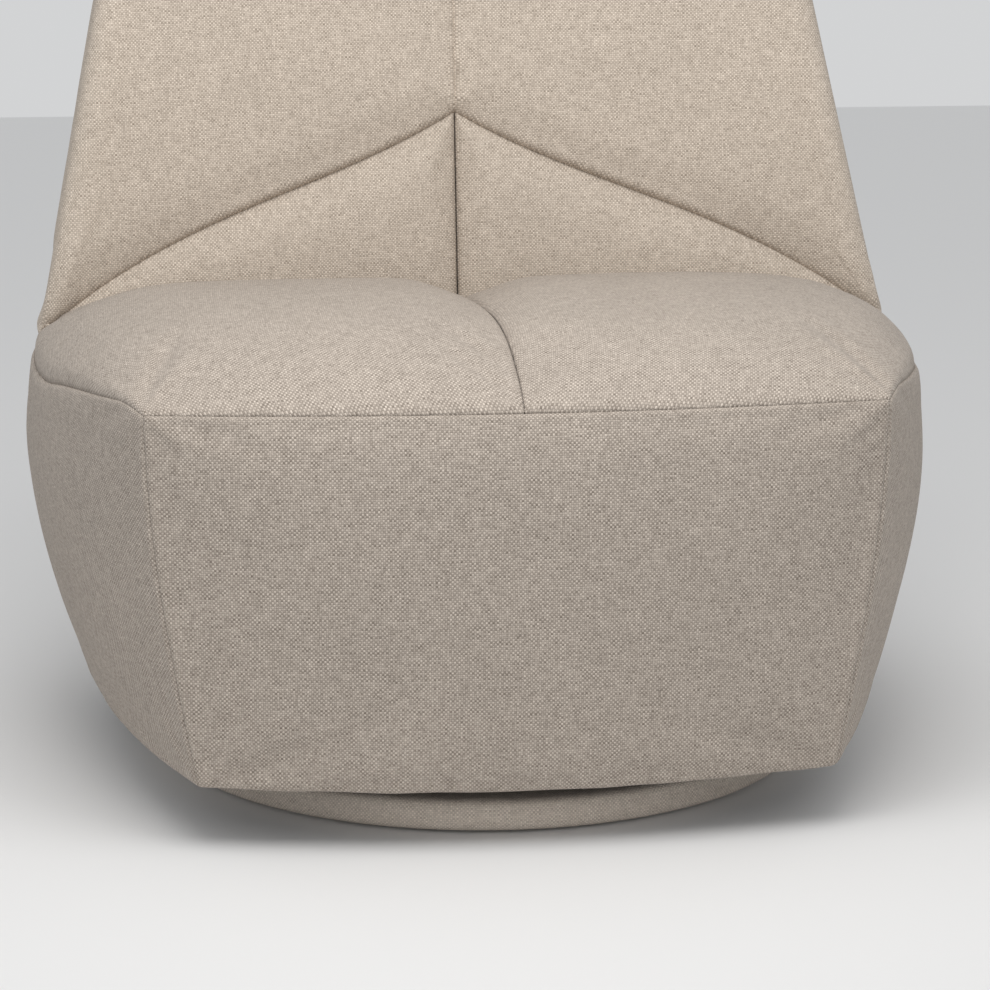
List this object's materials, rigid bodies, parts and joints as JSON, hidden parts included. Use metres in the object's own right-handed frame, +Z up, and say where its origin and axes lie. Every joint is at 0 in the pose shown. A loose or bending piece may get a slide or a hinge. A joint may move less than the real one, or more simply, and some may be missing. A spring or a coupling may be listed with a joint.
{
  "type": "swivel glider chair",
  "caption": "Armless upholstered swivel glider chair with a swelling barrel body, split seat top, deep diagonal back seams and a fabric-wrapped disc base.",
  "frame": {"origin": "on the floor, under the middle of the chair's overall plan", "axes": "+Z up, -Y the way the sitter faces, +X the sitter's left, across the chair"},
  "size_m": [0.9598, 0.8506, 0.89],
  "materials": {
    "upholstery": "matte",
    "base_wrap": "matte",
    "foam": "matte",
    "dust_cloth": "matte",
    "webbing": "matte",
    "plywood": "matte",
    "hardwood": "matte",
    "black_steel": "satin",
    "zinc_steel": "satin",
    "bearing_steel": "polished",
    "spring_steel": "satin",
    "nylon": "matte",
    "rubber": "matte"
  },
  "bodies": {
    "base": {"base_board": "plywood", "base_cover": "base_wrap", "base_feet": "rubber", "base_feet_screws": "zinc_steel", "lower_race": "zinc_steel", "lower_race_bolts": "zinc_steel"},
    "ball_ring": {"bearing_balls": "bearing_steel", "ball_cage": "nylon"},
    "swivel_frame": {"upper_race": "zinc_steel", "swivel_plate": "black_steel", "cross_tubes": "black_steel", "hanger_right": "black_steel", "hanger_left": "black_steel", "swivel_bolts": "zinc_steel", "upper_pivot_pins": "zinc_steel", "stop_bumpers": "rubber"},
    "front_links": {"front_link_right": "black_steel", "front_link_left": "black_steel", "front_link_tube": "black_steel", "front_link_bushes": "nylon"},
    "rear_links": {"rear_link_right": "black_steel", "rear_link_left": "black_steel", "rear_link_tube": "black_steel", "rear_link_bushes": "nylon"},
    "chair": {"rail_right": "black_steel", "rail_left": "black_steel", "rail_bushes": "nylon", "rail_bolts": "zinc_steel", "mount_board_right": "plywood", "mount_board_left": "plywood", "bottom_rail_front": "plywood", "bottom_rail_rear": "plywood", "bottom_rail_right": "plywood", "bottom_rail_left": "plywood", "seat_rail_front": "hardwood", "seat_rail_rear": "hardwood", "seat_rail_right": "hardwood", "seat_rail_left": "hardwood", "corner_posts": "hardwood", "seat_springs": "spring_steel", "spring_clips": "nylon", "seat_foam": "foam", "seat_pad_right": "upholstery", "seat_pad_left": "upholstery", "front_pad": "upholstery", "side_pad_right": "upholstery", "side_pad_left": "upholstery", "rear_pad": "upholstery", "back_post_right": "plywood", "back_post_left": "plywood", "back_mid_rail": "hardwood", "back_top_rail": "hardwood", "back_webbing": "webbing", "back_foam": "foam", "back_pad_lower_right": "upholstery", "back_pad_lower_left": "upholstery", "back_pad_upper_right": "upholstery", "back_pad_upper_left": "upholstery", "outside_back": "upholstery", "dust_cover": "dust_cloth"}
  },
  "joints": [
    {"name": "swivel", "type": "hinge", "parent": "base", "child": "swivel_frame", "pos_m": [0, -0.042, 0.045], "axis": [0, 0, 1], "continuous": true},
    {"name": "ball_roll", "type": "hinge", "parent": "base", "child": "ball_ring", "pos_m": [0, -0.042, 0.04], "axis": [0, 0, 1], "continuous": true},
    {"name": "glide", "type": "hinge", "parent": "swivel_frame", "child": "front_links", "pos_m": [0, -0.152, 0.2], "axis": [1, 0, 0], "range_deg": [-26, 26]},
    {"name": "chair_level", "type": "hinge", "parent": "front_links", "child": "chair", "pos_m": [0, -0.152, 0.08], "axis": [1, 0, 0], "range_deg": [-26, 26]},
    {"name": "rear_swing", "type": "hinge", "parent": "swivel_frame", "child": "rear_links", "pos_m": [0, 0.068, 0.2], "axis": [1, 0, 0], "range_deg": [-26, 26]}
  ],
  "couplings": [
    {"joint": "ball_roll", "follows": "swivel", "ratio": 0.5},
    {"joint": "chair_level", "follows": "glide", "ratio": -1},
    {"joint": "rear_swing", "follows": "glide", "ratio": 1}
  ]
}
